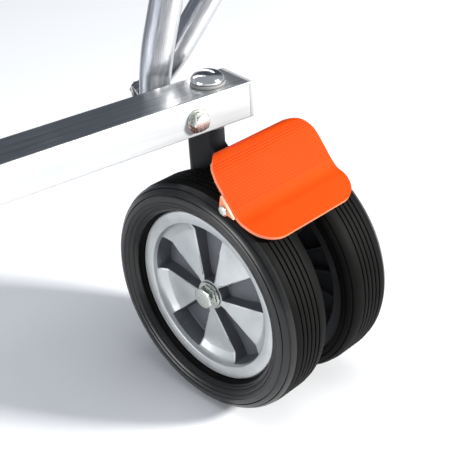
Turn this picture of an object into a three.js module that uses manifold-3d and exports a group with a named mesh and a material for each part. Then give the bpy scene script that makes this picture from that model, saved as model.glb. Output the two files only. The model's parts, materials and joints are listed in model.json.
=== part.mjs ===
// Corner of a shopping trolley: the end of an aluminium box rail, the feet of
// two tubes bolted to it, and the braked twin-wheel castor that carries it.
//
// Millimetres, +Z up. The origin is the centre of the rail's open end. The rail
// runs along +X to its capped end, and the castor stands under that end.

import * as THREE from 'three';
import { mergeVertices } from 'three/addons/utils/BufferGeometryUtils.js';
import Module from 'manifold-3d';

const wasm = await Module();
wasm.setup();

// ---------------------------------------------------------------- dimensions

const GAP = 0.3; // left between pieces that touch
const PIN_FIT = 0.3; // radial room of a shaft in its hole

// Rail and its end cap
const RAIL_LENGTH = 240.2;
const RAIL_WIDTH = 40;
const RAIL_HEIGHT = 30;
const RAIL_WALL = 2;
const RAIL_CORNER = 1.5;
const CAP_FLANGE = 3;
const CAP_PLUG_LENGTH = 14;
const CAP_PLUG_WALL = 2.5;

// Swivel
const KINGPIN_INSET = 28.5; // from the cap's outer face to the swivel axis
const KINGPIN_RADIUS = 6;
const KINGPIN_IN_FORK = 20;
const BUSH_WALL = 2.7;
const BUSH_DEPTH = 9;
const BUSH_FLANGE_RADIUS = 14;
const BUSH_FLANGE = 2.1;
const THRUST_WASHER = 1.5;
const THRUST_WASHER_RADIUS = 13.5;
const DOME_RADIUS = 13.3;
const DOME_HEIGHT = 8.4;
const DOME_SKIRT = 1.1;
const CASTOR_YAW = THREE.MathUtils.degToRad(9);
const TRAIL = 35; // swivel axis to axle

// Wheels
const WHEEL_RADIUS = 100;
const TYRE_WIDTH = 50;
const TYRE_SHOULDER = 13.5;
const TYRE_SPACING = 24; // between the two tyres
const TYRE_THICKNESS = 19.6; // tread to rim seat
const GROOVE_WIDTH = 2.4;
const GROOVE_DEPTH = 2.2;
const GROOVE_COUNT = 4;
const INNER_EDGE_ROUND = 1.5;
const SIDE_WALL_SLOPE = 6; // width of the slope from the crown down to the ring
const RING_EDGE = 3.5; // depth of the ring's outer edge
const RING_OUTER = WHEEL_RADIUS - 25.6;
const RING_INNER = WHEEL_RADIUS - 36;
const RING_RECESS = 11.8; // tyre's outer side to the rim's ring
const RIM_WALL = 4;
const HUB_RADIUS = 15.5;
const HUB_RECESS = 4.2; // hub's face under the ring
const HUB_SPACER = 2.5; // fork's boss to the hub
const FLANGE_DROP = 12.5; // rim's inner flange under the tread
const SPOKE_COUNT = 5;
const SPOKE_HALF_ANGLE = 18; // degrees
const DISH_RADIUS = 54; // where the spokes lie deepest under the ring
const DISH_DEPTH = 8.5;
const DISH_EDGE_DEPTH = 5; // under the ring, at the foot of its inner wall
const POCKET_DEPTH = 18;
const POCKET_HUB_STEP = 6; // pocket floor under the hub's face
const RIB_COUNT = 10;
const RIB_THICKNESS = 2;
const RIB_ROOT = 1; // how far a rib runs into the hub, the barrel and the face
const BARREL_SETBACK = 4; // rim's inner edge behind the tyre's
const FLANGE_THICKNESS = 2.5;
const BEAD_SLOPE = 1.8;
const BEAD_LAP = 5; // tyre's lip beside the ring
const FRONT_WHEEL_TURN = 218; // degrees
const REAR_WHEEL_TURN = 20;
const WHEEL_SEGMENTS = 40;

// Axle and its bearings
const AXLE_RADIUS = 5;
const AXLE_HEX = 17;
const AXLE_HEAD = 6.4;
const AXLE_NUT = 8;
const AXLE_WASHER = 1.6;
const AXLE_WASHER_RADIUS = 11.5;
const BEARING_RADIUS = 11;
const BEARING_WIDTH = 8;
const BOSS_RADIUS = 17;
const BOSS_HALF_WIDTH = 10.2;

// Fork
const FORK_HALF_WIDTH = 8;
const COLUMN_RADIUS = 9.2;
const COLUMN_LEADING_Y = 14.4; // centres of the column's two round ends
const COLUMN_TRAILING_Y = -2.4;
const COLUMN_LENGTH = 70;
const PIVOT_EAR_RADIUS = 3.4;
const PIVOT_EAR_SET_BACK = 1; // ear's centre to the pin's, away from the pedal

// Brake pedal. The line of its upper face is given around the axle: degrees
// above the horizontal, and height over the tread.
const PEDAL_LINE = [
  [85.9, 26.9],
  [83.7, 28.1],
  [81.4, 27.3],
  [78.9, 23.9],
  [76.1, 19.4],
  [71.3, 12.6],
  [66.1, 6.5],
  [61.4, 3.6],
  [57, 4.9],
  [52.3, 6.4],
  [46.3, 9.5],
];
const PEDAL_THICKNESS = 2.6;
const PEDAL_LEFT_SETBACK = 5; // pedal's left edge to the tyre's outer side
const PEDAL_RIGHT_SETBACK = 7.5;
const PEDAL_TOP_CORNER = 26;
const PEDAL_BOTTOM_CORNER = 19;
const PIVOT_ANGLE = 69.2;
const PIVOT_LIFT = 3; // pivot pin's axis over the tread
const PIVOT_RADIUS = 1.6;
const LUG_RADIUS = 4.6;
const LEFT_LUG_SETBACK = 2; // beside the tyre's crown
const LEFT_LUG_THICKNESS = 4.5;
const RIGHT_LUG_SETBACK = 9.5; // over the crown
const RIGHT_LUG_THICKNESS = 3.5;
const LUG_CLEARANCE = 1.2; // right lug to the tread: its bore is open below
const SHOE_INNER_SETBACK = 6; // shoe to the tyre's inner side
const SHOE_OUTER_SETBACK = 14; // and to its outer side
const SHOE_LIFT = 3.8; // released shoe to the tread
const SHOE_TOE_ANGLE = 79;
const SHOE_HEEL_ANGLE = 76.5;
const PIN_HEAD_RADIUS = 3.8;
const PIN_HEAD = 1.2;
const CLIP_RADIUS = 3.1;
const CLIP_THICKNESS = 0.8;
const PEDAL_TO_RAIL = 1.2; // pedal's top to the rail, as the castor swivels

// Bolted tubes
const BOLT_INSET = 25; // swivel axis to the cross bolt
const BOLT_HEIGHT = 13; // over the rail's underside
const BOLT_RADIUS = 4;
const BOLT_HEX = 13;
const BOLT_HEAD = 5.3;
const BOLT_NUT = 7.5;
const BOLT_WASHER = 1.6;
const BOLT_WASHER_RADIUS = 9.6;
const SLEEVE_RADIUS = 6.5;
const UPRIGHT_RADIUS = 13;
const BRACE_RADIUS = 11.5;
const TUBE_WALL = 1.5;
const CRIMPED_HALF_WIDTH = 4.5; // brace tube's flattened foot, across the bolt
// Centre lines from the bolt, along X and Z
const UPRIGHT_LINE = [
  [-3.8, -10.2],
  [-2.5, 0],
  [-0.3, 20],
  [4.5, 43],
  [15.8, 79],
  [27, 115],
];
const BRACE_LINE = [
  [-8, -1.2],
  [0, 1.6],
  [10, 6.6],
  [20.5, 13.6],
  [45, 39.5],
  [70, 66.9],
  [95.5, 95],
];

// ------------------------------------------------------------ derived places

const AXLE_HEIGHT = WHEEL_RADIUS; // over the floor
const onTread = (degrees, lift) => {
  const angle = THREE.MathUtils.degToRad(degrees);
  const reach = WHEEL_RADIUS + lift;
  return new THREE.Vector2(-TRAIL - reach * Math.cos(angle), AXLE_HEIGHT + reach * Math.sin(angle));
};
const PIVOT = onTread(PIVOT_ANGLE, PIVOT_LIFT);
const PEDAL_TOP = Math.max(...PEDAL_LINE.map(([angle, lift]) => onTread(angle, lift).y));
const RAIL_UNDERSIDE = PEDAL_TOP + PEDAL_TO_RAIL; // over the floor
const RAIL_TOP = RAIL_UNDERSIDE + RAIL_HEIGHT;
const CAPPED_END = RAIL_LENGTH + GAP + CAP_FLANGE;
const KINGPIN_X = CAPPED_END - KINGPIN_INSET;
const FLOOR_Z = -RAIL_HEIGHT / 2 - RAIL_UNDERSIDE;
const BUSH_RADIUS = KINGPIN_RADIUS + PIN_FIT + BUSH_WALL;
const FORK_TOP = RAIL_UNDERSIDE - BUSH_FLANGE - THRUST_WASHER - 3 * GAP;
const DOME_BASE = RAIL_TOP + BUSH_FLANGE + 2 * GAP;
const KINGPIN_TOP = DOME_BASE + DOME_HEIGHT / 2;

const TYRE_INNER = TYRE_SPACING / 2; // from the castor's middle plane
const TYRE_OUTER = TYRE_INNER + TYRE_WIDTH;
const RING_PLANE = TYRE_OUTER - RING_RECESS;
const PEDAL_LEFT = PEDAL_LEFT_SETBACK - TYRE_OUTER;
const PEDAL_RIGHT = TYRE_OUTER - PEDAL_RIGHT_SETBACK;
const SHOE_INNER = TYRE_INNER + SHOE_INNER_SETBACK;
const SHOE_OUTER = TYRE_OUTER - SHOE_OUTER_SETBACK;
const LEFT_LUG = {
  outer: LEFT_LUG_SETBACK - TYRE_OUTER,
  inner: LEFT_LUG_SETBACK - TYRE_OUTER + LEFT_LUG_THICKNESS,
  radius: LUG_RADIUS,
};
const RIGHT_LUG = {
  outer: TYRE_OUTER - RIGHT_LUG_SETBACK,
  inner: TYRE_OUTER - RIGHT_LUG_SETBACK - RIGHT_LUG_THICKNESS,
  radius: LUG_RADIUS,
};
const RIM_SEAT = WHEEL_RADIUS - TYRE_THICKNESS;
const FLANGE_RADIUS = WHEEL_RADIUS - FLANGE_DROP;
const HUB_FACE = RING_PLANE - HUB_RECESS;
const HUB_INNER = BOSS_HALF_WIDTH + HUB_SPACER;
const FLANGE_PLANE = TYRE_INNER + BARREL_SETBACK; // rim's inner edge
const FLANGE_SEAT = FLANGE_PLANE + FLANGE_THICKNESS;
const AXLE_HEAD_SEAT = HUB_FACE + AXLE_WASHER + 2 * GAP;

const BOLT_X = KINGPIN_X - BOLT_INSET;
const BOLT_Z = -RAIL_HEIGHT / 2 + BOLT_HEIGHT;
const BACK = RAIL_WIDTH / 2;
const UPRIGHT_Y = BACK + GAP + BOLT_WASHER + GAP + UPRIGHT_RADIUS;
const BRACE_Y = UPRIGHT_Y + UPRIGHT_RADIUS + GAP + BOLT_WASHER + GAP + CRIMPED_HALF_WIDTH;
const NUT_WASHER_Y = BRACE_Y + CRIMPED_HALF_WIDTH + GAP;

// ------------------------------------------------------------------ materials

const finish = (color, roughness, metalness) =>
  new THREE.MeshStandardMaterial({ color, roughness, metalness });

const FINISHES = {
  polishedAluminium: finish(0xc9ccd2, 0.22, 1),
  chrome: finish(0xd8dade, 0.08, 1),
  zinc: finish(0xc4c8bd, 0.3, 1),
  lightPlastic: finish(0xd9dbdc, 0.5, 0),
  rimPlastic: finish(0xa9adb0, 0.4, 0.25),
  tyreRubber: finish(0x1c1c1b, 0.55, 0),
  blackPlastic: finish(0x17181a, 0.4, 0),
  orangePlastic: finish(0xf4571a, 0.42, 0),
  nylon: finish(0xe6e3d8, 0.55, 0),
};

// -------------------------------------------------------------------- shaping

/** A closed three.js geometry as a solid that can be joined and cut. */
function solid(geometry) {
  const bare = geometry.index ? geometry.toNonIndexed() : geometry.clone();
  bare.deleteAttribute('normal');
  bare.deleteAttribute('uv');
  const merged = mergeVertices(bare, 1e-4);
  const corners = merged.index.array;
  const kept = [];
  for (let i = 0; i < corners.length; i += 3) {
    const [a, b, c] = [corners[i], corners[i + 1], corners[i + 2]];
    if (a !== b && b !== c && c !== a) kept.push(a, b, c);
  }
  if (enclosedVolume(merged.attributes.position.array, kept) < 0) kept.reverse();
  const vertProperties = new Float32Array(merged.attributes.position.array);
  return new wasm.Manifold(
    new wasm.Mesh({ numProp: 3, vertProperties, triVerts: new Uint32Array(kept) }),
  );
}

/** Six times the signed volume inside a triangle list. */
function enclosedVolume(positions, corners) {
  const [a, b, c] = [new THREE.Vector3(), new THREE.Vector3(), new THREE.Vector3()];
  let sum = 0;
  for (let i = 0; i < corners.length; i += 3) {
    a.fromArray(positions, 3 * corners[i]);
    b.fromArray(positions, 3 * corners[i + 1]);
    c.fromArray(positions, 3 * corners[i + 2]);
    sum += a.dot(b.cross(c));
  }
  return sum;
}

/** A solid as a flat-shaded geometry. */
function surface(body) {
  const mesh = body.getMesh();
  const geometry = new THREE.BufferGeometry();
  geometry.setAttribute('position', new THREE.BufferAttribute(mesh.vertProperties, 3));
  geometry.setIndex(new THREE.BufferAttribute(mesh.triVerts, 1));
  geometry.computeVertexNormals();
  return geometry;
}

/** Revolves [radius, height] points about Z; a profile off the axis closes on itself. */
function revolved(profile, segments = 20) {
  const points = profile.map(([radius, height]) => new THREE.Vector2(radius, height));
  if (profile[0][0] > 0) points.push(points[0].clone());
  return new THREE.LatheGeometry(points, segments).rotateX(Math.PI / 2);
}

/** A ring or, with no inner radius, a disc about Z between two heights. */
function ring(inner, outer, low, high, segments = 20) {
  const bore = inner > 0 ? [[inner, high], [inner, low]] : [[0, high], [0, low]];
  const wall = [[outer, low], [outer, high]];
  return revolved(inner > 0 ? [...bore, ...wall] : [bore[1], ...wall, bore[0]], segments);
}

/** A hexagonal prism about Z, measured across its flats. */
function hexPrism(acrossFlats, low, high) {
  const cornerRadius = acrossFlats / 2 / Math.cos(Math.PI / 6);
  const prism = new THREE.CylinderGeometry(cornerRadius, cornerRadius, high - low, 6);
  return prism.rotateX(Math.PI / 2).translate(0, 0, (low + high) / 2);
}

/** A hex bolt about Z, its head below zero. */
function hexBolt(acrossFlats, head, radius, length) {
  const shank = solid(ring(0, radius, -head / 2, length));
  return surface(solid(hexPrism(acrossFlats, -head, 0)).add(shank));
}

/** A lock nut about Z, from zero up, with its plain collar on top. */
function lockNut(acrossFlats, height, boltRadius) {
  const collar = solid(ring(0, acrossFlats * 0.46, height * 0.6, height));
  const bore = solid(ring(0, boltRadius + PIN_FIT, -1, height + 1));
  return surface(solid(hexPrism(acrossFlats, 0, height * 0.75)).add(collar).subtract(bore));
}

// Turns a drawing in (x, y) with its depth along z into (y, z) with depth along x.
const SIDE_VIEW = new THREE.Matrix4().makeBasis(
  new THREE.Vector3(0, 1, 0),
  new THREE.Vector3(0, 0, 1),
  new THREE.Vector3(1, 0, 0),
);

/** Extrudes an outline drawn in (y, z) between two places on X. */
function plate(outline, left, right) {
  const options = { depth: right - left, bevelEnabled: false, curveSegments: 10 };
  const geometry = new THREE.ExtrudeGeometry(outline, options);
  return geometry.translate(0, 0, left).applyMatrix4(SIDE_VIEW);
}

/** A rectangle about the origin with rounded corners, which may be wider at its upper end. */
function roundedRectangle(width, height, radius, upperRadius = radius) {
  const [x, y] = [width / 2, height / 2];
  const outline = new THREE.Shape();
  outline.moveTo(radius - x, -y);
  outline.absarc(x - radius, radius - y, radius, -Math.PI / 2, 0);
  outline.absarc(x - upperRadius, y - upperRadius, upperRadius, 0, Math.PI / 2);
  outline.absarc(upperRadius - x, y - upperRadius, upperRadius, Math.PI / 2, Math.PI);
  outline.absarc(radius - x, radius - y, radius, Math.PI, 1.5 * Math.PI);
  return outline;
}

const alongX = (geometry) => geometry.rotateY(Math.PI / 2);
const alongY = (geometry) => geometry.rotateX(-Math.PI / 2);

/** A solid rod about the X axis line through (y, z), for pins and their holes. */
function crossRod(radius, left, right, y, z) {
  return solid(alongX(ring(0, radius, left, right)).translate(0, y, z));
}

// ---------------------------------------------------------------- rail pieces

function railGeometry() {
  const corner = { curveSegments: 3, bevelEnabled: false };
  const section = roundedRectangle(RAIL_HEIGHT, RAIL_WIDTH, RAIL_CORNER);
  section.holes.push(
    roundedRectangle(RAIL_HEIGHT - 2 * RAIL_WALL, RAIL_WIDTH - 2 * RAIL_WALL, 0.5),
  );
  const tube = alongX(new THREE.ExtrudeGeometry(section, { ...corner, depth: RAIL_LENGTH }));
  const bushHole = solid(
    ring(0, BUSH_RADIUS + GAP, -RAIL_HEIGHT, RAIL_HEIGHT).translate(KINGPIN_X, 0, 0),
  );
  const boltHole = solid(
    alongY(ring(0, BOLT_RADIUS + PIN_FIT, -RAIL_WIDTH, RAIL_WIDTH)).translate(BOLT_X, 0, BOLT_Z),
  );
  return surface(solid(tube).subtract(bushHole).subtract(boltHole));
}

function railCapGeometry() {
  const inside = [RAIL_HEIGHT - 2 * RAIL_WALL - 2 * GAP, RAIL_WIDTH - 2 * RAIL_WALL - 2 * GAP];
  const extrude = (shape, depth, start) =>
    alongX(new THREE.ExtrudeGeometry(shape, { depth, bevelEnabled: false, curveSegments: 3 }))
      .translate(start, 0, 0);
  const seat = RAIL_LENGTH + GAP;
  const flange = extrude(roundedRectangle(RAIL_HEIGHT, RAIL_WIDTH, RAIL_CORNER), CAP_FLANGE, seat);
  const plug = extrude(roundedRectangle(...inside, 1), CAP_PLUG_LENGTH, seat - CAP_PLUG_LENGTH + 0.5);
  const hollow = extrude(
    roundedRectangle(inside[0] - 2 * CAP_PLUG_WALL, inside[1] - 2 * CAP_PLUG_WALL, 0.5),
    CAP_PLUG_LENGTH,
    seat - CAP_PLUG_LENGTH,
  );
  return surface(solid(flange).add(solid(plug)).subtract(solid(hollow)));
}

/** A bolted tube: swept along its line, flattened near the bolt, and drilled. */
function boltedTube(line, radius, y, footHalfWidth) {
  const path = new THREE.CatmullRomCurve3(line.map(([x, z]) => new THREE.Vector3(x, 0, z)));
  const section = new THREE.Shape().absarc(0, 0, radius, 0, 2 * Math.PI);
  section.holes.push(new THREE.Path().absarc(0, 0, radius - TUBE_WALL, 0, 2 * Math.PI));
  const options = { steps: 12, curveSegments: 9, extrudePath: path, bevelEnabled: false };
  const tube = new THREE.ExtrudeGeometry(section, options);
  const places = tube.attributes.position;
  for (let i = 0; i < places.count; i += 1) {
    const fromBolt = Math.hypot(places.getX(i), places.getZ(i));
    const opening = THREE.MathUtils.smoothstep(fromBolt, 18, 44);
    const squash = THREE.MathUtils.lerp(footHalfWidth / radius, 1, opening);
    places.setY(i, places.getY(i) * squash);
  }
  const boltHole = solid(alongY(ring(0, BOLT_RADIUS + PIN_FIT, -radius - 1, radius + 1)));
  return surface(solid(tube).subtract(boltHole)).translate(BOLT_X, y, BOLT_Z);
}

/** A washer on the cross bolt, its front face at the given place on Y. */
function boltWasher(y) {
  const washer = ring(BOLT_RADIUS + PIN_FIT, BOLT_WASHER_RADIUS, 0, BOLT_WASHER);
  return alongY(washer).translate(BOLT_X, y, BOLT_Z);
}

function crossBoltGeometry() {
  const headSeat = -RAIL_WIDTH / 2 - 2 * GAP - BOLT_WASHER;
  const end = NUT_WASHER_Y + BOLT_WASHER + GAP + BOLT_NUT + 2;
  const bolt = hexBolt(BOLT_HEX, BOLT_HEAD, BOLT_RADIUS, end - headSeat);
  return alongY(bolt).translate(BOLT_X, headSeat, BOLT_Z);
}

function crossNutGeometry() {
  const seat = NUT_WASHER_Y + BOLT_WASHER + GAP;
  return alongY(lockNut(BOLT_HEX, BOLT_NUT, BOLT_RADIUS)).translate(BOLT_X, seat, BOLT_Z);
}

function crushSleeveGeometry() {
  const half = RAIL_WIDTH / 2 - RAIL_WALL - GAP;
  const sleeve = ring(BOLT_RADIUS + PIN_FIT, SLEEVE_RADIUS, -half, half);
  return alongY(sleeve).translate(BOLT_X, 0, BOLT_Z);
}

// ----------------------------------------------- castor pieces, in its own frame
// X runs along the axle, the castor trails towards -Y, and Z is over the floor.

/** A flanged bush; its flange starts at the rail and its sleeve points inwards. */
function bushGeometry(flangeFace, flangeOuter, sleeveEnd) {
  const bore = KINGPIN_RADIUS + PIN_FIT;
  const [low, high] = [Math.min(flangeFace, flangeOuter), Math.max(flangeFace, flangeOuter)];
  const [down, up] = [Math.min(flangeOuter, sleeveEnd), Math.max(flangeOuter, sleeveEnd)];
  const body = solid(ring(0, BUSH_FLANGE_RADIUS, low, high, 28)).add(
    solid(ring(0, BUSH_RADIUS, down, up)),
  );
  return surface(body.subtract(solid(ring(0, bore, down - 1, up + 1))));
}

function domeGeometry() {
  const bore = KINGPIN_RADIUS + PIN_FIT;
  const boreTop = KINGPIN_TOP + GAP;
  const profile = [[0, boreTop], [bore, boreTop], [bore, DOME_BASE], [DOME_RADIUS, DOME_BASE]];
  const arcSteps = 5;
  for (let i = 0; i <= arcSteps; i += 1) {
    const angle = (i / arcSteps) * (Math.PI / 2);
    const radius = i === arcSteps ? 0 : DOME_RADIUS * Math.cos(angle);
    const rise = (DOME_HEIGHT - DOME_SKIRT) * Math.sin(angle);
    profile.push([radius, DOME_BASE + DOME_SKIRT + rise]);
  }
  return surface(solid(revolved(profile, 28)));
}

/** The fork: a column under the rail, a web between the tyres, boss and ear. */
function forkGeometry() {
  const columnBottom = FORK_TOP - COLUMN_LENGTH;
  const column = new THREE.Shape();
  column.absarc(0, COLUMN_LEADING_Y, COLUMN_RADIUS, 0, Math.PI);
  column.absarc(0, COLUMN_TRAILING_Y, COLUMN_RADIUS, Math.PI, 2 * Math.PI);
  const columnBody = solid(
    new THREE.ExtrudeGeometry(column, {
      depth: COLUMN_LENGTH,
      bevelEnabled: false,
      curveSegments: 10,
    }).translate(0, 0, columnBottom),
  );

  const leading = COLUMN_LEADING_Y + COLUMN_RADIUS - 3;
  const trailing = COLUMN_TRAILING_Y - COLUMN_RADIUS;
  const web = new THREE.Shape();
  web.moveTo(leading, columnBottom + 20);
  web.quadraticCurveTo(leading - 2, AXLE_HEIGHT + 30, BOSS_RADIUS - TRAIL, AXLE_HEIGHT);
  web.absarc(-TRAIL, AXLE_HEIGHT, BOSS_RADIUS, 0, Math.PI, true);
  web.quadraticCurveTo(-TRAIL - 12, AXLE_HEIGHT + 45, PIVOT.x + 14, PIVOT.y - 22);
  const ear = PIVOT.clone().add(new THREE.Vector2(1, -0.2).setLength(PIVOT_EAR_SET_BACK));
  web.absarc(ear.x, ear.y, PIVOT_EAR_RADIUS, 1.3 * Math.PI, 0.5 * Math.PI, true);
  web.quadraticCurveTo(PIVOT.x + 25, PIVOT.y - 4, trailing, columnBottom + 50);
  web.lineTo(trailing + 6, columnBottom + 56);
  const webBody = solid(plate(web, -FORK_HALF_WIDTH, FORK_HALF_WIDTH));

  const boss = crossRod(BOSS_RADIUS, -BOSS_HALF_WIDTH, BOSS_HALF_WIDTH, -TRAIL, AXLE_HEIGHT);
  const reach = COLUMN_RADIUS + 5;
  const holes = [
    crossRod(AXLE_RADIUS + PIN_FIT, -reach, reach, -TRAIL, AXLE_HEIGHT),
    crossRod(PIVOT_RADIUS + PIN_FIT, -reach, reach, PIVOT.x, PIVOT.y),
    solid(ring(0, KINGPIN_RADIUS + PIN_FIT, FORK_TOP - KINGPIN_IN_FORK - GAP, FORK_TOP + 1)),
  ];
  return surface(holes.reduce((body, hole) => body.subtract(hole), columnBody.add(webBody).add(boss)));
}

/** A ring on the axle between two distances from the castor's middle plane. */
function axleRing(inner, outer, near, far, side) {
  const body = ring(inner, outer, Math.min(side * near, side * far), Math.max(side * near, side * far));
  return alongX(body).translate(0, -TRAIL, AXLE_HEIGHT);
}

function axleBoltGeometry() {
  const length = 2 * AXLE_HEAD_SEAT + AXLE_NUT + 3;
  return alongX(hexBolt(AXLE_HEX, AXLE_HEAD, AXLE_RADIUS, length)).translate(
    -AXLE_HEAD_SEAT,
    -TRAIL,
    AXLE_HEIGHT,
  );
}

function axleNutGeometry() {
  return alongX(lockNut(AXLE_HEX, AXLE_NUT, AXLE_RADIUS)).translate(
    AXLE_HEAD_SEAT,
    -TRAIL,
    AXLE_HEIGHT,
  );
}

/** Places a wheel piece, revolved about Z, on one side of the axle, turned by an angle. */
function onAxle(geometry, side, turn) {
  const turned = geometry.rotateZ(THREE.MathUtils.degToRad(turn));
  return turned.rotateY((side * Math.PI) / 2).translate(0, -TRAIL, AXLE_HEIGHT);
}

function tyreGeometry(side, turn) {
  const middle = (TYRE_INNER + TYRE_OUTER) / 2;
  const crown = TYRE_WIDTH / 2 - TYRE_SHOULDER;
  const shoulder = (towards) =>
    [0, 1 / 3, 2 / 3, 1].map((share) => {
      const angle = share * (Math.PI / 2);
      const out = crown + TYRE_SHOULDER * Math.sin(angle);
      const drop = TYRE_SHOULDER * (1 - Math.cos(angle));
      return [WHEEL_RADIUS - drop, middle + towards * out];
    });
  const grooves = [];
  for (let i = 0; i < GROOVE_COUNT; i += 1) {
    const centre = middle - crown + ((i + 0.5) * 2 * crown) / GROOVE_COUNT;
    grooves.push([WHEEL_RADIUS, centre - GROOVE_WIDTH / 2]);
    grooves.push([WHEEL_RADIUS - GROOVE_DEPTH, centre]);
    grooves.push([WHEEL_RADIUS, centre + GROOVE_WIDTH / 2]);
  }
  const lip = RING_OUTER + GAP + 0.4;
  const profile = [
    [RIM_SEAT + GAP, FLANGE_SEAT + BEAD_SLOPE + GAP],
    [FLANGE_RADIUS + GAP, FLANGE_SEAT + GAP],
    [FLANGE_RADIUS + GAP, TYRE_INNER + INNER_EDGE_ROUND],
    ...shoulder(-1).reverse().slice(1),
    ...grooves,
    ...shoulder(1).slice(0, -1),
    [WHEEL_RADIUS - TYRE_SHOULDER, TYRE_OUTER],
    [RING_OUTER + SIDE_WALL_SLOPE, RING_PLANE + BEAD_LAP],
    [lip, RING_PLANE + 2 * GAP],
    [lip + 2 * GAP, RING_PLANE - RING_EDGE + GAP],
    [RIM_SEAT + GAP, RING_PLANE - BEAD_LAP],
  ];
  return onAxle(surface(solid(revolved(profile, WHEEL_SEGMENTS))), side, turn);
}

/** The rim: a dished face of spokes and pockets in a deep barrel, ribbed behind. */
function rimGeometry(side, turn) {
  const bearingSeat = BEARING_RADIUS + GAP;
  const dishEdge = RING_INNER - 2;
  const { mapLinear } = THREE.MathUtils;
  const spokeFace = (radius) =>
    radius < DISH_RADIUS
      ? mapLinear(radius, HUB_RADIUS, DISH_RADIUS, HUB_FACE - 1, RING_PLANE - DISH_DEPTH)
      : mapLinear(
          radius, DISH_RADIUS, dishEdge, RING_PLANE - DISH_DEPTH, RING_PLANE - DISH_EDGE_DEPTH,
        );
  const pocketFace = (radius) =>
    mapLinear(radius, HUB_RADIUS, dishEdge, HUB_FACE - POCKET_HUB_STEP, RING_PLANE - POCKET_DEPTH);
  const faceRadii = [HUB_RADIUS + 1, (HUB_RADIUS + DISH_RADIUS) / 2, DISH_RADIUS, dishEdge];
  const fixed = (radius, axial) => ({ radius, spoke: axial, pocket: axial });
  const face = (radius, back) => ({
    radius,
    spoke: spokeFace(radius) - back,
    pocket: pocketFace(radius) - back,
  });
  const barrel = RIM_SEAT - RIM_WALL;
  const faceBack = RING_PLANE - POCKET_DEPTH - RIM_WALL;
  const profile = [
    fixed(bearingSeat, HUB_FACE),
    fixed(bearingSeat, HUB_INNER),
    fixed(HUB_RADIUS, HUB_INNER),
    ...faceRadii.map((radius) => face(radius, RIM_WALL)),
    fixed(barrel, faceBack),
    fixed(barrel, FLANGE_PLANE),
    fixed(FLANGE_RADIUS, FLANGE_PLANE),
    fixed(FLANGE_RADIUS, FLANGE_SEAT),
    fixed(RIM_SEAT, FLANGE_SEAT + BEAD_SLOPE),
    fixed(RIM_SEAT, RING_PLANE - BEAD_LAP - GAP),
    fixed(RING_OUTER + 1, RING_PLANE - RING_EDGE),
    fixed(RING_OUTER, RING_PLANE),
    fixed(RING_INNER, RING_PLANE),
    ...faceRadii.map((radius) => face(radius, 0)).reverse(),
    fixed(HUB_RADIUS - GAP, HUB_FACE),
  ];
  const lathe = revolved(profile.map(({ radius, pocket }) => [radius, pocket]), WHEEL_SEGMENTS);
  const places = lathe.attributes.position;
  const pitch = 360 / SPOKE_COUNT;
  for (let step = 0; step <= WHEEL_SEGMENTS; step += 1) {
    const around = THREE.MathUtils.euclideanModulo((step * 360) / WHEEL_SEGMENTS + pitch / 2, pitch);
    const onSpoke = Math.abs(around - pitch / 2) < SPOKE_HALF_ANGLE;
    for (let j = 0; j <= profile.length; j += 1) {
      const { spoke, pocket } = profile[j % profile.length];
      places.setZ(step * (profile.length + 1) + j, onSpoke ? spoke : pocket);
    }
  }
  let rim = solid(lathe);
  const ribStart = FLANGE_PLANE + 2;
  const ribDepth = faceBack + RIB_ROOT - ribStart;
  const ribLength = barrel - HUB_RADIUS + 2 * RIB_ROOT;
  for (let i = 0; i < RIB_COUNT; i += 1) {
    const rib = new THREE.BoxGeometry(ribLength, RIB_THICKNESS, ribDepth);
    rib.translate(HUB_RADIUS - RIB_ROOT + ribLength / 2, 0, ribStart + ribDepth / 2);
    rim = rim.add(solid(rib.rotateZ(((i + 0.2) * 2 * Math.PI) / RIB_COUNT)));
  }
  return onAxle(surface(rim), side, turn);
}

const PEDAL_SPLINE = new THREE.SplineCurve(PEDAL_LINE.map(([angle, lift]) => onTread(angle, lift)));

/** From the pedal's upper face straight towards the axle. */
function towardsAxle(point, depth) {
  const inwards = new THREE.Vector2(-TRAIL, AXLE_HEIGHT).sub(point).normalize();
  return point.clone().addScaledVector(inwards, depth);
}

/** The bent plate, with its four corners rounded as seen square to its chord. */
function pedalPlate() {
  const steps = 20;
  const outer = PEDAL_SPLINE.getPoints(steps);
  const inner = outer.map((point, i) => {
    const along = PEDAL_SPLINE.getTangent(i / steps);
    return new THREE.Vector2(point.x - along.y * PEDAL_THICKNESS, point.y + along.x * PEDAL_THICKNESS);
  });
  const section = new THREE.Shape([...outer, ...inner.reverse()]);

  const [top, bottom] = [outer[0], outer[steps]];
  const plan = roundedRectangle(
    PEDAL_RIGHT - PEDAL_LEFT,
    top.distanceTo(bottom) + PEDAL_THICKNESS,
    PEDAL_BOTTOM_CORNER,
    PEDAL_TOP_CORNER,
  );
  const reach = WHEEL_RADIUS / 2;
  const post = new THREE.ExtrudeGeometry(plan, {
    depth: 2 * reach,
    bevelEnabled: false,
    curveSegments: 8,
  });
  post.translate(0, 0, -reach);
  post.rotateX(Math.atan2(top.y - bottom.y, top.x - bottom.x));
  post.translate((PEDAL_LEFT + PEDAL_RIGHT) / 2, (top.x + bottom.x) / 2, (top.y + bottom.y) / 2);
  return solid(plate(section, PEDAL_LEFT, PEDAL_RIGHT)).intersect(solid(post));
}

/** A side lug round the pivot pin, rooted in the plate. */
function pedalLug({ outer, inner, radius }) {
  const rooted = PEDAL_THICKNESS * 0.6;
  const top = towardsAxle(PEDAL_SPLINE.getPoint(0.48), rooted);
  const bottom = towardsAxle(PEDAL_SPLINE.getPoint(0.66), rooted);
  const outline = new THREE.Shape();
  outline.moveTo(top.x, top.y);
  outline.absarc(PIVOT.x, PIVOT.y, radius, 0.15 * Math.PI, 1.2 * Math.PI, true);
  outline.lineTo(bottom.x, bottom.y);
  return solid(plate(outline, Math.min(outer, inner), Math.max(outer, inner)));
}

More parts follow.
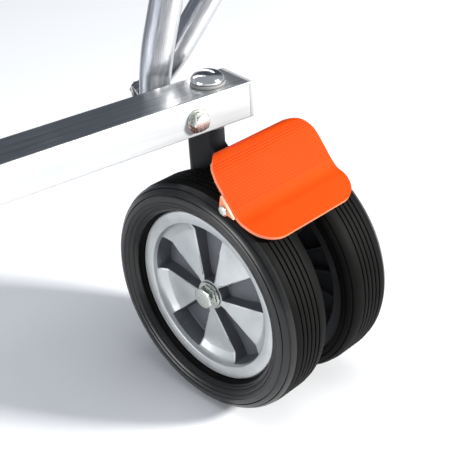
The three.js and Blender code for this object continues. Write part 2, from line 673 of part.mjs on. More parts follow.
/** The wedge under the upper flap that is pressed onto one tyre. */
function brakeShoe(side) {
  const rooted = PEDAL_THICKNESS * 0.6;
  const outline = new THREE.Shape([
    towardsAxle(PEDAL_SPLINE.getPoint(0.3), rooted),
    onTread(SHOE_TOE_ANGLE, SHOE_LIFT),
    onTread(SHOE_HEEL_ANGLE, SHOE_LIFT),
    towardsAxle(PEDAL_SPLINE.getPoint(0.44), rooted),
  ]);
  const [left, right] = [side * SHOE_INNER, side * SHOE_OUTER].sort((a, b) => a - b);
  return solid(plate(outline, left, right));
}

function pedalGeometry() {
  const tread = crossRod(
    WHEEL_RADIUS + LUG_CLEARANCE, RIGHT_LUG.inner - 1, RIGHT_LUG.outer + 1, -TRAIL, AXLE_HEIGHT,
  );
  const bore = crossRod(PIVOT_RADIUS + PIN_FIT, 2 * PEDAL_LEFT, 2 * PEDAL_RIGHT, PIVOT.x, PIVOT.y);
  const body = pedalPlate()
    .add(pedalLug(LEFT_LUG))
    .add(pedalLug(RIGHT_LUG).subtract(tread))
    .add(brakeShoe(-1))
    .add(brakeShoe(1));
  return surface(body.subtract(bore));
}

function pivotPinGeometry() {
  const headSeat = LEFT_LUG.outer - GAP;
  const end = RIGHT_LUG.outer + 2 * GAP + CLIP_THICKNESS;
  const shank = solid(ring(0, PIVOT_RADIUS, headSeat - PIN_HEAD / 2, end, 12));
  const head = solid(ring(0, PIN_HEAD_RADIUS, headSeat - PIN_HEAD, headSeat, 16));
  return alongX(surface(shank.add(head))).translate(0, PIVOT.x, PIVOT.y);
}

function pinClipGeometry() {
  const seat = RIGHT_LUG.outer + GAP;
  const clip = ring(PIVOT_RADIUS + PIN_FIT, CLIP_RADIUS, seat, seat + CLIP_THICKNESS, 12);
  return alongX(clip).translate(0, PIVOT.x, PIVOT.y);
}

// -------------------------------------------------------------------- assembly

function named(name, geometry, material) {
  const mesh = new THREE.Mesh(geometry, material);
  mesh.name = name;
  return mesh;
}

function frameGroup() {
  const group = new THREE.Group();
  group.add(
    named('rail', railGeometry(), FINISHES.polishedAluminium),
    named('rail_end_cap', railCapGeometry(), FINISHES.lightPlastic),
    named('crush_sleeve', crushSleeveGeometry(), FINISHES.zinc),
    named('cross_bolt', crossBoltGeometry(), FINISHES.zinc),
    named('cross_bolt_washer', boltWasher(-BACK - GAP - BOLT_WASHER), FINISHES.zinc),
    named('upright_washer', boltWasher(BACK + GAP), FINISHES.nylon),
    named('brace_washer', boltWasher(UPRIGHT_Y + UPRIGHT_RADIUS + GAP), FINISHES.nylon),
    named('cross_nut_washer', boltWasher(NUT_WASHER_Y), FINISHES.zinc),
    named('cross_nut', crossNutGeometry(), FINISHES.zinc),
    named(
      'upright_tube',
      boltedTube(UPRIGHT_LINE, UPRIGHT_RADIUS, UPRIGHT_Y, UPRIGHT_RADIUS),
      FINISHES.polishedAluminium,
    ),
    named(
      'brace_tube',
      boltedTube(BRACE_LINE, BRACE_RADIUS, BRACE_Y, CRIMPED_HALF_WIDTH),
      FINISHES.polishedAluminium,
    ),
  );
  return group;
}

function swivelGroup() {
  const group = new THREE.Group();
  const washerTop = RAIL_UNDERSIDE - BUSH_FLANGE - 2 * GAP;
  const bore = KINGPIN_RADIUS + PIN_FIT;
  group.add(
    named(
      'upper_bush',
      bushGeometry(RAIL_TOP + GAP, RAIL_TOP + GAP + BUSH_FLANGE, RAIL_TOP - BUSH_DEPTH),
      FINISHES.nylon,
    ),
    named(
      'lower_bush',
      bushGeometry(
        RAIL_UNDERSIDE - GAP, RAIL_UNDERSIDE - GAP - BUSH_FLANGE, RAIL_UNDERSIDE + BUSH_DEPTH,
      ),
      FINISHES.blackPlastic,
    ),
    named(
      'thrust_washer',
      ring(bore, THRUST_WASHER_RADIUS, washerTop - THRUST_WASHER, washerTop, 28),
      FINISHES.zinc,
    ),
    named('kingpin', ring(0, KINGPIN_RADIUS, FORK_TOP - KINGPIN_IN_FORK, KINGPIN_TOP), FINISHES.zinc),
    named('dome_cap', domeGeometry(), FINISHES.chrome),
    named('fork', forkGeometry(), FINISHES.blackPlastic),
  );
  return group;
}

function wheelGroup(prefix, side, turn) {
  const group = new THREE.Group();
  const inner = AXLE_RADIUS + PIN_FIT;
  const bearing = (near) => axleRing(inner, BEARING_RADIUS, near, near + BEARING_WIDTH, side);
  group.add(
    named(`${prefix}_rim`, rimGeometry(side, turn), FINISHES.rimPlastic),
    named(`${prefix}_tyre`, tyreGeometry(side, turn), FINISHES.tyreRubber),
    named(`${prefix}_outer_bearing`, bearing(HUB_FACE - BEARING_WIDTH), FINISHES.zinc),
    named(`${prefix}_inner_bearing`, bearing(HUB_INNER), FINISHES.zinc),
  );
  return group;
}

function axleGroup() {
  const group = new THREE.Group();
  const inner = AXLE_RADIUS + PIN_FIT;
  const spacer = (side) =>
    axleRing(inner, AXLE_RADIUS + 3.5, BOSS_HALF_WIDTH + GAP, HUB_INNER - GAP, side);
  const washer = (side) =>
    axleRing(inner, AXLE_WASHER_RADIUS, HUB_FACE + GAP, HUB_FACE + GAP + AXLE_WASHER, side);
  group.add(
    named('axle_bolt', axleBoltGeometry(), FINISHES.zinc),
    named('front_axle_washer', washer(-1), FINISHES.zinc),
    named('rear_axle_washer', washer(1), FINISHES.zinc),
    named('front_hub_spacer', spacer(-1), FINISHES.zinc),
    named('rear_hub_spacer', spacer(1), FINISHES.zinc),
    named('axle_nut', axleNutGeometry(), FINISHES.zinc),
  );
  return group;
}

function brakeGroup() {
  const group = new THREE.Group();
  group.add(
    named('brake_pedal', pedalGeometry(), FINISHES.orangePlastic),
    named('pedal_pin', pivotPinGeometry(), FINISHES.zinc),
    named('pin_clip', pinClipGeometry(), FINISHES.zinc),
  );
  return group;
}

const castor = new THREE.Group();
castor.position.set(KINGPIN_X, 0, FLOOR_Z);
castor.rotation.z = CASTOR_YAW;
castor.add(
  swivelGroup(),
  wheelGroup('front', -1, FRONT_WHEEL_TURN),
  wheelGroup('rear', 1, REAR_WHEEL_TURN),
  axleGroup(),
  brakeGroup(),
);

const trolleyCorner = new THREE.Group();
trolleyCorner.add(frameGroup(), castor);

export default trolleyCorner;
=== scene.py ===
import json
import math

import bpy
from mathutils import Matrix, Vector


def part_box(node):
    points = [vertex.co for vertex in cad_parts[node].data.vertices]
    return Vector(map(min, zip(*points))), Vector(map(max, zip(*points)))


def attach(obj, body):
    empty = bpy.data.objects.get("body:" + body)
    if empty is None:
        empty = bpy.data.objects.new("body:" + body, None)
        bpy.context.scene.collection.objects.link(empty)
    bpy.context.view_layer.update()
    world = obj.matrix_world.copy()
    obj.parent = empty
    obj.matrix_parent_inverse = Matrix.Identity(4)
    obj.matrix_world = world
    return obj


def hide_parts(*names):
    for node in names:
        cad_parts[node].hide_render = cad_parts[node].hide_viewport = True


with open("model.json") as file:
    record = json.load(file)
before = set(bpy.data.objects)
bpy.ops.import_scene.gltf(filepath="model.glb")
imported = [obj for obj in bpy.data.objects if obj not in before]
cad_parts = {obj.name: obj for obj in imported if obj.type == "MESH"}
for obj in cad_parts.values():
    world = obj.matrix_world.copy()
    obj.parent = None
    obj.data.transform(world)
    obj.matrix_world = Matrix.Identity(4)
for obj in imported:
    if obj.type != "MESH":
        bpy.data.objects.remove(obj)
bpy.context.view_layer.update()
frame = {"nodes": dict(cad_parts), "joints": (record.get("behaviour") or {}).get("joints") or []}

# Places that the frame gives. The castor's own frame has x along the axle towards the rear
# wheel, -y towards the trailing side and z over the floor. Pieces are modelled in millimetres.
MM = 0.001
JOINTS = {joint["name"]: joint for joint in frame["joints"]}
AXLE_DIRECTION = Vector(JOINTS["front_wheel_spin"]["axis"])
SWIVEL = Vector(JOINTS["castor_swivel"]["pos_m"])
FLOOR_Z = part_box("front_tyre")[0].z
ROW = Matrix.Scale(MM, 4)
CASTOR = (
    Matrix.Translation((SWIVEL.x, SWIVEL.y, FLOOR_Z))
    @ Matrix.Rotation(math.atan2(AXLE_DIRECTION.y, AXLE_DIRECTION.x), 4, "Z")
    @ ROW
)
TRAIL = 35
WHEEL_RADIUS = 100
GAP = 0.3  # left between pieces that touch, and round a shaft in its hole
AXLE = Matrix.Translation((0, -TRAIL, WHEEL_RADIUS))
# A wheel's own frame: z outwards along the axle, y up
OUTWARDS = {
    "front": CASTOR @ AXLE @ Matrix(((0, 0, -1, 0), (-1, 0, 0, 0), (0, 1, 0, 0), (0, 0, 0, 1))),
    "rear": CASTOR @ AXLE @ Matrix(((0, 0, 1, 0), (1, 0, 0, 0), (0, 1, 0, 0), (0, 0, 0, 1))),
}


# ------------------------------------------------------------------ modelling by hand


def nothing_selected():
    if bpy.context.object and bpy.context.object.mode != "OBJECT":
        bpy.ops.object.mode_set(mode="OBJECT")
    bpy.ops.object.select_all(action="DESELECT")


def picked(piece):
    """Makes one piece the selected and active one."""
    nothing_selected()
    piece.select_set(True)
    bpy.context.view_layer.objects.active = piece
    return piece


def in_edit_mode(piece, work):
    """Runs some edit-mode work on the whole of a piece."""
    picked(piece)
    bpy.ops.object.mode_set(mode="EDIT")
    bpy.ops.mesh.select_all(action="SELECT")
    work()
    bpy.ops.object.mode_set(mode="OBJECT")
    return piece


def tidied(piece, gap=0.001):
    """Merges doubled points and turns every face outwards."""

    def work():
        bpy.ops.mesh.remove_doubles(threshold=gap)
        bpy.ops.mesh.dissolve_degenerate(threshold=gap / 4)
        bpy.ops.mesh.select_all(action="SELECT")
        bpy.ops.mesh.normals_make_consistent(inside=False)

    return in_edit_mode(piece, work)


def modified(piece, kind, **settings):
    """Adds a modifier with these settings and applies it."""
    picked(piece)
    modifier = piece.modifiers.new(kind.lower(), kind)
    for name, value in settings.items():
        setattr(modifier, name, value)
    bpy.ops.object.modifier_apply(modifier=modifier.name)
    return piece


def bevelled(piece, width, segments=2, angle=35):
    return modified(
        piece, "BEVEL", width=width, segments=segments, limit_method="ANGLE",
        angle_limit=math.radians(angle), harden_normals=False,
    )


def smoothed(piece, angle=32):
    picked(piece)
    bpy.ops.object.shade_smooth_by_angle(angle=math.radians(angle))
    return piece


def outline_of(points, filled=False):
    """A closed outline through (x, y) points."""
    nothing_selected()
    bpy.ops.mesh.primitive_circle_add(
        vertices=len(points), radius=1, fill_type="NGON" if filled else "NOTHING"
    )
    outline = bpy.context.object
    for vertex, point in zip(outline.data.vertices, points):
        vertex.co = (point[0], point[1], 0)
    return outline


def spun(profile, steps=96):
    """Spins a closed profile of (radius, height) points about z."""
    piece = outline_of(profile)
    for vertex in piece.data.vertices:
        vertex.co = (vertex.co.x, 0, vertex.co.y)

    def work():
        bpy.ops.mesh.spin(
            steps=steps, angle=math.tau, center=(0, 0, 0), axis=(0, 0, 1), use_auto_merge=True
        )

    return tidied(in_edit_mode(piece, work))


def plate(outline, low, high):
    """Extrudes an (x, y) outline between two heights."""
    piece = outline_of(outline, filled=True)
    for vertex in piece.data.vertices:
        vertex.co.z = low

    def work():
        bpy.ops.mesh.extrude_region_move(TRANSFORM_OT_translate={"value": (0, 0, high - low)})

    return tidied(in_edit_mode(piece, work))


def turned_to(piece, matrix):
    piece.data.transform(matrix)
    return piece


def joined(pieces):
    nothing_selected()
    for piece in pieces:
        piece.select_set(True)
    bpy.context.view_layer.objects.active = pieces[0]
    bpy.ops.object.join()
    return bpy.context.object


def cut(piece, cutter):
    """Takes the cutter's shape out of a piece."""
    modified(piece, "BOOLEAN", operation="DIFFERENCE", solver="EXACT", object=cutter)
    bpy.data.objects.remove(cutter)
    return piece


def arc(centre, radius, start, end, steps):
    """Points of an arc between two angles in degrees."""
    points = []
    for step in range(steps + 1):
        angle = math.radians(start + (end - start) * step / steps)
        points.append((centre[0] + radius * math.cos(angle), centre[1] + radius * math.sin(angle)))
    return points


def hexagon(across_flats, turn=0):
    reach = across_flats / 2 / math.cos(math.pi / 6)
    return [
        (reach * math.cos(math.radians(60 * i + turn)), reach * math.sin(math.radians(60 * i + turn)))
        for i in range(6)
    ]


def between(value, start, end):
    """How far a value is from start to end, eased at both ends."""
    share = min(1, max(0, (value - start) / (end - start)))
    return share * share * (3 - 2 * share)


def spline_point(points, share):
    """A point of the smooth curve through some points, share running from 0 to 1."""
    place = share * (len(points) - 1)
    first = min(int(place), len(points) - 2)
    t = place - first
    before = points[max(first - 1, 0)]
    start, end = points[first], points[first + 1]
    after = points[min(first + 2, len(points) - 1)]
    result = []
    for p0, p1, p2, p3 in zip(before, start, end, after):
        v0, v1 = (p2 - p0) / 2, (p3 - p1) / 2
        result.append(
            (2 * p1 - 2 * p2 + v0 + v1) * t**3 + (3 * (p2 - p1) - 2 * v0 - v1) * t**2 + v0 * t + p1
        )
    return result


def settled(piece, name, matrix, body, finish, nodes=()):
    """Puts a finished piece in its place, on its body, with its finish."""
    turned_to(piece, matrix)
    piece.name = name
    piece.data.name = name
    if not piece.data.materials:
        piece.data.materials.append(finish)
    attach(piece, body)
    if nodes:
        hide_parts(*nodes)
    return piece


# ------------------------------------------------------------------------- finishes


class Value:
    """A number that changes over a surface. Sums on it add Math nodes."""

    def __init__(self, finish, socket):
        self.finish = finish
        self.socket = socket

    def worked(self, operation, first, second):
        return self.finish.node("Math", {"operation": operation}, {0: first, 1: second})

    def __add__(self, other):
        return self.worked("ADD", self, other)

    def __radd__(self, other):
        return self.worked("ADD", other, self)

    def __sub__(self, other):
        return self.worked("SUBTRACT", self, other)

    def __rsub__(self, other):
        return self.worked("SUBTRACT", other, self)

    def __mul__(self, other):
        return self.worked("MULTIPLY", self, other)

    def __rmul__(self, other):
        return self.worked("MULTIPLY", other, self)


class Finish:
    """A material's nodes."""

    def __init__(self, tree):
        self.tree = tree

    def node(self, kind, settings=None, inputs=None, output=0):
        """Adds a node, sets it up, feeds its sockets and gives one of its outputs."""
        made = self.tree.nodes.new("ShaderNode" + kind)
        for name, value in (settings or {}).items():
            if name == "stops":
                while len(made.color_ramp.elements) < len(value):
                    made.color_ramp.elements.new(0.5)
                for element, (place, level) in zip(made.color_ramp.elements, value):
                    element.position = place
                    element.color = (level, level, level, 1)
            else:
                setattr(made, name, value)
        for name, value in (inputs or {}).items():
            self.feed(made.inputs[name], value)
        return Value(self, made.outputs[output])

    def feed(self, socket, value):
        if isinstance(value, Value):
            self.tree.links.new(value.socket, socket)
        elif isinstance(value, tuple) and socket.type == "RGBA":
            socket.default_value = (*value, 1)
        else:
            socket.default_value = value

    def stretched(self, scale, source="Object"):
        """The surface's coordinates, stretched along each axis."""
        where = self.node("TexCoord", None, None, source)
        return self.node("Mapping", None, {"Vector": where, "Scale": scale})

    def noise(self, where, scale=1.0, detail=3.0, roughness=0.55):
        sockets = {"Vector": where, "Scale": scale, "Detail": detail, "Roughness": roughness}
        return self.node("TexNoise", None, sockets)

    def ramp(self, value, *stops):
        return self.node("ValToRGB", {"stops": stops}, {0: value})

    def mixed(self, share, first, second):
        sockets = {0: share, 6: first, 7: second}
        return self.node("Mix", {"data_type": "RGBA"}, sockets, 2)

    def bump(self, height, strength, depth):
        sockets = {"Strength": strength, "Distance": depth, "Height": height}
        return self.node("Bump", None, sockets)


def new_finish(name):
    material = bpy.data.materials.new(name)
    material.use_nodes = True
    tree = material.node_tree
    return material, Finish(tree), tree.nodes["Principled BSDF"]


def dressed(finish, surface, **sockets):
    """Feeds the surface's sockets, named with _ for a space."""
    for name, value in sockets.items():
        finish.feed(surface.inputs[name.replace("_", " ")], value)


def drawn_aluminium(name, stretch, light, dark, source="Object", satin_and_shaded_sides=False):
    """Bright drawn aluminium with fine die lines along the stretch.

    A tube's lines follow its own map, with one dark stripe along it that is a painted reflection; a
    box rail's upright sides are more satin than its top, and darker with painted shade.
    """
    material, f, surface = new_finish(name)
    broad = f.noise(f.stretched(stretch, source), 1.0, 2.0)
    fine_stretch = tuple(8 * s for s in stretch)
    fine = f.noise(f.stretched(fine_stretch, source), 1.0, 3.0, 0.7)
    cloud = f.noise(f.stretched((22, 22, 22)), 1.0, 3.0)
    streaks = f.ramp(broad * 0.55 + fine * 0.45, (0.34, 0.0), (0.62, 1.0))
    colour = f.mixed(streaks, (dark, dark * 1.01, dark * 1.04), (light, light * 1.01, light * 1.02))
    shine = 1.0
    roughness = 0.2 + 0.14 * fine + 0.12 * cloud
    if satin_and_shaded_sides:
        normal = f.node("NewGeometry", None, None, "Normal")
        level = f.node("SeparateXYZ", None, {0: normal}, "Z")
        level = f.node("Math", {"operation": "ABSOLUTE"}, {0: level})
        flat = f.ramp(level, (0.3, 0.0), (0.8, 1.0))
        # Upright sides get a darker colour than the top: painted shade, on top of their more satin
        # finish.
        shaded_side_colour = f.mixed(streaks, (0.43, 0.445, 0.46), (0.54, 0.555, 0.565))
        colour = f.mixed(flat, shaded_side_colour, colour)
        shine = 0.3 + 0.7 * flat
        roughness = roughness + 0.3 * (1 - flat)
    if source == "UV":
        # A dark bluish stripe around the tube at one place in its map: painted reflection.
        around = f.node("SeparateXYZ", None, {0: f.node("TexCoord", None, None, "UV")}, "Y")
        painted_reflection_stripe = f.ramp(around, (0.44, 0.0), (0.475, 1.0), (0.615, 1.0), (0.632, 0.0))
        colour = f.mixed(painted_reflection_stripe * (1.1 - 0.5 * streaks), colour, (0.2, 0.215, 0.25))
        roughness = roughness + 0.12 * painted_reflection_stripe
    dressed(
        f, surface,
        Base_Color=colour,
        Metallic=shine,
        Roughness=roughness,
        Normal=f.bump(fine + 0.5 * broad, 0.25, 0.0002),
    )
    return material


def chrome():
    """Bright plating, a little smudged."""
    material, f, surface = new_finish("chrome")
    smudge = f.noise(f.stretched((90, 90, 90)), 1.0, 4.0)
    dressed(
        f, surface,
        Base_Color=f.mixed(smudge, (0.74, 0.75, 0.75), (0.86, 0.87, 0.86)),
        Metallic=1.0,
        Roughness=f.ramp(smudge, (0.35, 0.1), (0.75, 0.26)),
        Normal=f.bump(smudge, 0.3, 0.0005),
    )
    return material


def bright_zinc():
    """Zinc plating with a fine spangle and a faint yellow tint."""
    material, f, surface = new_finish("bright_zinc")
    spangle = f.noise(f.stretched((700, 700, 700)), 1.0, 2.0, 0.5)
    tint = f.noise(f.stretched((60, 60, 60)), 1.0, 2.0)
    dressed(
        f, surface,
        Base_Color=f.mixed(tint, (0.66, 0.66, 0.58), (0.6, 0.64, 0.63)),
        Metallic=0.95,
        Roughness=0.16 + 0.2 * spangle,
        Normal=f.bump(spangle, 0.05, 0.00005),
    )
    return material


def moulded_plastic(
    name, low, high, roughness, grain=900, depth=0.00006, metallic=0.0, specular=0.5
):
    """Moulded plastic between two close colours, with a fine tool texture."""
    material, f, surface = new_finish(name)
    cloud = f.noise(f.stretched((28, 28, 28)), 1.0, 3.0)
    tool = f.noise(f.stretched((grain, grain, grain)), 1.0, 2.0)
    dressed(
        f, surface,
        Base_Color=f.mixed(f.ramp(cloud, (0.3, 0.0), (0.7, 1.0)), low, high),
        Metallic=metallic,
        Roughness=roughness - 0.06 + 0.12 * tool + 0.08 * cloud,
        Specular_IOR_Level=specular,
        Normal=f.bump(tool, 0.35, depth),
    )
    return material


def tyre_rubber(name, roughness, specular):
    """Black rubber with a faint bloom and fine pores."""
    material, f, surface = new_finish(name)
    bloom = f.noise(f.stretched((18, 18, 18)), 1.0, 4.0)
    patches = f.ramp(bloom, (0.35, 0.0), (0.75, 1.0))
    pores = f.noise(f.stretched((700, 700, 700)), 1.0, 2.0)
    dressed(
        f, surface,
        Base_Color=f.mixed(patches, (0.004, 0.004, 0.0038), (0.009, 0.009, 0.0085)),
        Roughness=roughness + 0.14 * bloom + 0.08 * pores,
        Specular_IOR_Level=specular,
        Normal=f.bump(pores, 0.3, 0.00008),
    )
    return material


ALUMINIUM_RAIL = drawn_aluminium("drawn_aluminium_rail", (3, 130, 130), 0.9, 0.5, satin_and_shaded_sides=True)
ALUMINIUM_TUBE = drawn_aluminium("drawn_aluminium_tube", (1.3, 11, 1), 0.82, 0.34, source="UV")
CHROME = chrome()
ZINC = bright_zinc()
CAP_PLASTIC = moulded_plastic("cap_plastic", (0.36, 0.37, 0.38), (0.41, 0.42, 0.43), 0.4)
NYLON = moulded_plastic("nylon", (0.2, 0.2, 0.195), (0.26, 0.26, 0.25), 0.45)
RIM_SILVER = moulded_plastic(
    "rim_silver", (0.46, 0.48, 0.485), (0.6, 0.62, 0.625), 0.27, metallic=0.6
)
# A darker silver for the pocket walls and floors: painted shade in the pockets.
RIM_POCKET_PAINTED_SHADE = moulded_plastic(
    "rim_pocket_painted_shade", (0.1, 0.106, 0.118), (0.13, 0.137, 0.15), 0.34, metallic=0.4
)
RIM_BACK = moulded_plastic("rim_back", (0.035, 0.037, 0.04), (0.05, 0.052, 0.056), 0.4)
TREAD_RUBBER = tyre_rubber("tread_rubber", 0.42, 0.03)
WALL_RUBBER = tyre_rubber("wall_rubber", 0.2, 0.5)
BLACK_PLASTIC = moulded_plastic(
    "black_plastic", (0.012, 0.012, 0.013), (0.016, 0.016, 0.018), 0.38, specular=0.12
)
ORANGE_GRAIN = 1100
ORANGE_GRAIN_DEPTH = 0.00004
ORANGE = moulded_plastic(
    "orange_plastic", (0.58, 0.05, 0.003), (0.62, 0.056, 0.0035), 0.6,
    ORANGE_GRAIN, ORANGE_GRAIN_DEPTH, specular=0.06,
)
# A darker orange for the faces in the ribs' grooves: painted shade between the ribs.
ORANGE_GROOVE_SHADE = moulded_plastic(
    "orange_groove_painted_shade", (0.53, 0.038, 0.002), (0.57, 0.043, 0.0025), 0.6,
    ORANGE_GRAIN, ORANGE_GRAIN_DEPTH, specular=0.06,
)
# A paler orange for the plate's edges and the lugs: painted highlight.
ORANGE_EDGE_HIGHLIGHT = moulded_plastic(
    "orange_edge_painted_highlight", (0.7, 0.2, 0.09), (0.76, 0.25, 0.13), 0.4, ORANGE_GRAIN, ORANGE_GRAIN_DEPTH
)


# --------------------------------------------------------------------- frame pieces

BOLT = (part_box("cross_bolt")[0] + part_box("cross_bolt")[1]) / 2 / MM
BOLT_RADIUS = 4
BOLT_HEX = 13
BOLT_HEAD = 5.3
BOLT_NUT = 7.5
BOLT_WASHER_RADIUS = 9.6
UPRIGHT_RADIUS = 13
BRACE_RADIUS = 11.5
TUBE_WALL = 1.5
UPRIGHT_Y = 35.2
BRACE_Y = 54.9
CRIMPED_HALF_WIDTH = 4.5
CRIMP_START, CRIMP_END = 18, 44  # from the bolt, along the brace
# The tubes' middle lines, as x and z from the bolt
UPRIGHT_LINE = [(-3.8, -10.2), (-2.5, 0), (-0.3, 20), (4.5, 43), (15.8, 79), (27, 115)]
BRACE_LINE = [
    (-8, -1.2), (0, 1.6), (10, 6.6), (20.5, 13.6), (45, 39.5), (70, 66.9), (95.5, 95),
]


def refined(node, width=0.25, angle=32):
    """A softened copy of a CAD node: merged, with its sharp edges rounded."""
    source = frame["nodes"][node]
    mesh = source.data.copy()
    mesh.materials.clear()
    piece = bpy.data.objects.new(node + "_softened", mesh)
    bpy.context.scene.collection.objects.link(piece)
    turned_to(piece, Matrix.Scale(1 / MM, 4))

    def work():
        bpy.ops.mesh.remove_doubles(threshold=0.002)
        bpy.ops.mesh.select_all(action="SELECT")
        bpy.ops.mesh.dissolve_limited(angle_limit=math.radians(1))

    in_edit_mode(piece, work)
    if width:
        bevelled(piece, width, 2, 40)
    return smoothed(piece, angle)


def bolted_tube(line, radius, crimp):
    """A drawn tube: a grid rolled up along its line, pressed where it is bolted."""
    along, around = 72, 64
    step = 0.004
    nothing_selected()
    bpy.ops.mesh.primitive_grid_add(
        x_subdivisions=along, y_subdivisions=around, size=2, calc_uvs=True
    )
    tube = bpy.context.object
    for vertex in tube.data.vertices:
        share = (vertex.co.x + 1) / 2
        turn = (vertex.co.y + 1) * math.pi
        here = Vector(spline_point(line, share))
        ahead = Vector(spline_point(line, min(1, share + step)))
        behind = Vector(spline_point(line, max(0, share - step)))
        tangent = (ahead - behind).normalized()
        across = Vector((tangent.y, -tangent.x))
        side = radius * math.cos(turn)
        out = radius * math.sin(turn)
        out, side = crimp(here, out, side)
        vertex.co = (here.x + across.x * side, out, here.y + across.y * side)
    tidied(tube, 0.0005)
    modified(tube, "SOLIDIFY", thickness=TUBE_WALL, offset=-1, use_even_offset=True)
    return smoothed(tube, 40)


def upright_crimp(here, out, side):
    """The upright keeps its width; its front is dented in a vee where the bolt pulls it in."""
    height = math.hypot(here.x, here.y)
    dent = 1 - between(height, 17, 36)
    if out < 0:
        ridge = abs(side + 2.5) / UPRIGHT_RADIUS
        vee = 1 - between(height, 22, 34 - 14 * ridge)
        out *= 1 - 0.2 * dent - 0.22 * vee * (1 - ridge)
    return out, side


def brace_crimp(here, out, side):
    """The brace ends in a flattened foot."""
    opening = between(math.hypot(here.x, here.y), CRIMP_START, CRIMP_END)
    squash = CRIMPED_HALF_WIDTH / BRACE_RADIUS
    out *= squash + (1 - squash) * opening
    return out, side


def frame_tubes():
    for node, line, radius, crimp, behind in (
        ("upright_tube", UPRIGHT_LINE, UPRIGHT_RADIUS, upright_crimp, UPRIGHT_Y),
        ("brace_tube", BRACE_LINE, BRACE_RADIUS, brace_crimp, BRACE_Y),
    ):
        tube = bolted_tube(line, radius, crimp)
        place = ROW @ Matrix.Translation((BOLT.x, behind, BOLT.z))
        settled(tube, node + "_drawn", place, "rail_frame", ALUMINIUM_TUBE, [node])


def washer_profile(inner, outer, low, high, edge=0.3):
    return [
        (inner, low), (outer - edge, low), (outer, low + edge),
        (outer, high - edge), (outer - edge, high), (inner, high),
    ]


def hex_head(across_flats, high, turn):
    """A forged hexagon head from 0 up, with its corners turned off."""
    body = plate(hexagon(across_flats, turn), 0, high)
    reach = across_flats / 2
    inner, outer, clear = reach * 0.93, reach * 1.2, reach * 1.5
    shoulder = high - reach * 0.16
    over = high + 2
    chamfer = spun(
        [(inner, over), (inner, high), (outer, shoulder), (clear, shoulder), (clear, over)], 48
    )
    cut(body, chamfer)
    return bevelled(body, 0.25, 2, 30)


def shank(radius, low, high, chamfer=1):
    """A plain bolt shank with a chamfered end."""
    return spun(
        [(0, low), (radius, low), (radius, high - chamfer), (radius - chamfer, high), (0, high)], 40
    )


def lock_nut(across_flats, height, bolt_radius, turn):
    """A hexagon nut with a round locking collar over it, both bored for the bolt."""
    hole = bolt_radius + GAP
    collar_radius = across_flats * 0.46
    body = plate(hexagon(across_flats, turn), 0, height * 0.75)
    bore = spun([(0, -1), (hole, -1), (hole, height + 1), (0, height + 1)], 40)
    body = bevelled(cut(body, bore), 0.3, 2, 30)
    collar = spun(
        [
            (hole, height * 0.5), (collar_radius, height * 0.5), (collar_radius, height - 1),
            (collar_radius - 1, height), (hole, height),
        ],
        40,
    )
    return joined([body, collar])


ALONG_Y = Matrix.Rotation(-math.pi / 2, 4, "X")
ALONG_X = Matrix.Rotation(math.pi / 2, 4, "Y")
HEAD_DOWN = Matrix.Rotation(math.pi, 4, "X")


def cross_bolt_pieces():
    at_bolt = ROW @ Matrix.Translation((BOLT.x, 0, BOLT.z)) @ ALONG_Y
    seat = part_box("cross_bolt_washer")[0].y / MM - GAP
    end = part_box("cross_bolt")[1].y / MM
    head = hex_head(BOLT_HEX, BOLT_HEAD, 12)
    turned_to(head, Matrix.Translation((0, 0, seat)) @ HEAD_DOWN)
    bolt = smoothed(joined([head, shank(BOLT_RADIUS, seat - 1, end)]))
    settled(bolt, "cross_bolt_forged", at_bolt, "rail_frame", ZINC, ["cross_bolt"])
    for node, finish, slot in (
        ("cross_bolt_washer", ZINC, "zinc"),
        ("upright_washer", NYLON, "grey_plastic"),
        ("brace_washer", NYLON, "grey_plastic"),
        ("cross_nut_washer", ZINC, "zinc"),
    ):
        low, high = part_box(node)
        profile = washer_profile(BOLT_RADIUS + GAP, BOLT_WASHER_RADIUS, low.y / MM, high.y / MM)
        washer = smoothed(spun(profile, 64))
        settled(washer, node + "_pressed", at_bolt, "rail_frame", finish, [node])
    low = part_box("cross_nut")[0]
    nut = lock_nut(BOLT_HEX, BOLT_NUT, BOLT_RADIUS, 8)
    turned_to(nut, Matrix.Translation((0, 0, low.y / MM)))
    settled(smoothed(nut), "cross_nut_turned", at_bolt, "rail_frame", ZINC, ["cross_nut"])


KINGPIN_HOLE = 6 + GAP
DOME_RADIUS = 13.3
DOME_SKIRT = 1.1
BUSH_RADIUS = 9
BUSH_FLANGE_RADIUS = 14
BUSH_FLANGE = 2.1
BUSH_EDGE = 0.6
THRUST_WASHER_RADIUS = 13.5


def heights_of(node):
    """A node's lowest and highest points over the floor."""
    return [(corner.z - FLOOR_Z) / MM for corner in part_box(node)]


def dome_cap():
    base, top = heights_of("dome_cap")
    kingpin_top = heights_of("kingpin")[1] + GAP
    foot = base + DOME_SKIRT
    crown = []
    for step in range(20):
        angle = math.pi / 2 * step / 20
        crown.append((DOME_RADIUS * math.cos(angle), foot + (top - foot) * math.sin(angle)))
    profile = [
        (KINGPIN_HOLE, base), (DOME_RADIUS - 0.4, base), (DOME_RADIUS, base + 0.4), *crown,
        (0, top), (0, kingpin_top), (KINGPIN_HOLE, kingpin_top),
    ]
    dome = smoothed(spun(profile, 96), 50)
    settled(dome, "dome_cap_pressed", CASTOR, "castor", CHROME, ["dome_cap"])


